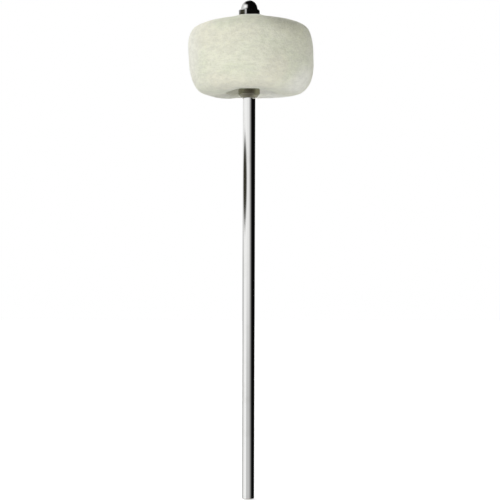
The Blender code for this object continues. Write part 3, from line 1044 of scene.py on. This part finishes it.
zenith = ease(studio, climb, 34.0, 60.0)
light = (1.0, 1.0, 1.0, 1.0)
for mask, tone in (
    (front, grey(studio, front_level)),
    (far_left, grey(studio, left_level)),
    (window, grey(studio, window_level)),
    (window_side, grey(studio, side_level)),
    (dark_side, BLACK),
    (dark_ceiling, BLACK),
    (zenith, BLACK),
    (card(-80, 3.3, 42, 2.1, 0.65), OLIVE),
    (card(-90.3, 11.3, 7, 2.6), OLIVE),
    (ease(studio, climb, -14.0, -26.0, 0.0, 0.75), GROUND),
):
    light = blend_colour(studio, mask, light, tone)
studio.links.new(light, result.inputs["Light"])
print("painted room:", len(studio.nodes), "nodes")

# %% The world
world = bpy.data.worlds.new("studio")
bpy.context.scene.world = world
world.use_nodes = True
tree = world.node_tree
rays = tree.nodes.new("ShaderNodeLightPath").outputs
around = use_group(tree, studio, {})["Light"]
seen = maths(tree, "MAXIMUM", rays["Is Camera Ray"], rays["Is Transmission Ray"])
colour = blend_colour(tree, seen, around, (1.0, 1.0, 1.0, 1.0))
tree.links.new(colour, tree.nodes["Background"].inputs["Color"])
print("world:", world.name)

# %% [markdown]
# ## The lamps
#
# The painted room lights the felt too, but unevenly. So four soft lamps stand a metre off: one in
# front and a little below the head, a weak one at the left, a low one behind at the right and a high
# one behind at the left, which lift the edges. Each is big, because a big lamp has soft shadows.
# Their power was set so that the felt comes out as pale as in the photograph, with nothing clipped.

# %% The lamps
LAMP_TARGET = Vector((0.0, 0.0, 0.22))
LAMP_SIDE = 0.7


def soft_lamp(name, bearing_degrees, climb_degrees, power):
    """A square softbox a metre off. Metal doesn't see it, because the world plays its part."""
    turn, lift = math.radians(bearing_degrees), math.radians(climb_degrees)
    out = Vector((math.sin(turn) * math.cos(lift), -math.cos(turn) * math.cos(lift), math.sin(lift)))
    data = bpy.data.lights.new(name, "AREA")
    data.size = LAMP_SIDE
    data.energy = power
    lamp = bpy.data.objects.new(name, data)
    lamp.location = LAMP_TARGET + out
    lamp.rotation_euler = out.to_track_quat("Z", "Y").to_euler()
    lamp.visible_glossy = False
    bpy.context.scene.collection.objects.link(lamp)


# Each lamp: its name, its bearing and its climb in degrees, and its power in watts.
soft_lamp("front softbox", 0, -6, 7.1)
soft_lamp("left softbox", -90, 25, 1.9)
soft_lamp("back right softbox", 120, -6, 5.7)
soft_lamp("back left softbox", -150, 50, 6.5)

# %% [markdown]
# ## The floor
#
# The beater stands on white paper that runs out of sight. Lit paper alone would look grey and show a
# horizon, so the paper also glows for camera, glossy and transmission rays, more strongly far off.
# The glow adds to its own light, and so the beater's shadow stays on it. Here the paper is hidden
# from the chrome's own glossy rays, because the painted room has a ground for them.

# %% The floor
FLOOR_HALF_SIDE = 1.5
FLOOR_DROP = 0.1 * MM
GLOW_START, GLOW_END = 0.3, 1.1
GLOW_NEAR, GLOW_FAR = 0.6, 0.9
floor_mesh = bmesh.new()
bmesh.ops.create_grid(floor_mesh, x_segments=2, y_segments=2, size=FLOOR_HALF_SIDE)
bmesh.ops.translate(floor_mesh, verts=floor_mesh.verts, vec=(0, 0, -FLOOR_DROP))
floor_data = bpy.data.meshes.new("studio_floor")
floor_mesh.to_mesh(floor_data)
floor_mesh.free()
studio_floor = bpy.data.objects.new("studio_floor", floor_data)
bpy.context.scene.collection.objects.link(studio_floor)
studio_floor.visible_glossy = False

floor_paper, tree, shader, place = new_material("floor paper", (0.9, 0.9, 0.9), 0.9, 0.0)
floor_data.materials.append(floor_paper)
rays = tree.nodes.new("ShaderNodeLightPath").outputs
mirrored = maths(tree, "MAXIMUM", rays["Is Glossy Ray"], rays["Is Transmission Ray"])
seen = maths(tree, "MAXIMUM", rays["Is Camera Ray"], mirrored)
far_off = distance(tree, place, (0.0, 0.0, 0.0))
level = ease(tree, far_off, GLOW_START, GLOW_END, GLOW_NEAR, GLOW_FAR)
glow = maths(tree, "MULTIPLY", seen, level)
shader.inputs["Emission Color"].default_value = (1.0, 1.0, 1.0, 1.0)
tree.links.new(glow, shader.inputs["Emission Strength"])
shader.inputs["Specular IOR Level"].default_value = 0.0
print("floor:", 2 * FLOOR_HALF_SIDE, "m across")

# %% [markdown]
# ## Finish
#
# The view transform is set to Standard, and the scene is updated.

# %% Finish
bpy.context.scene.view_settings.view_transform = "Standard"
bpy.context.view_layer.update()
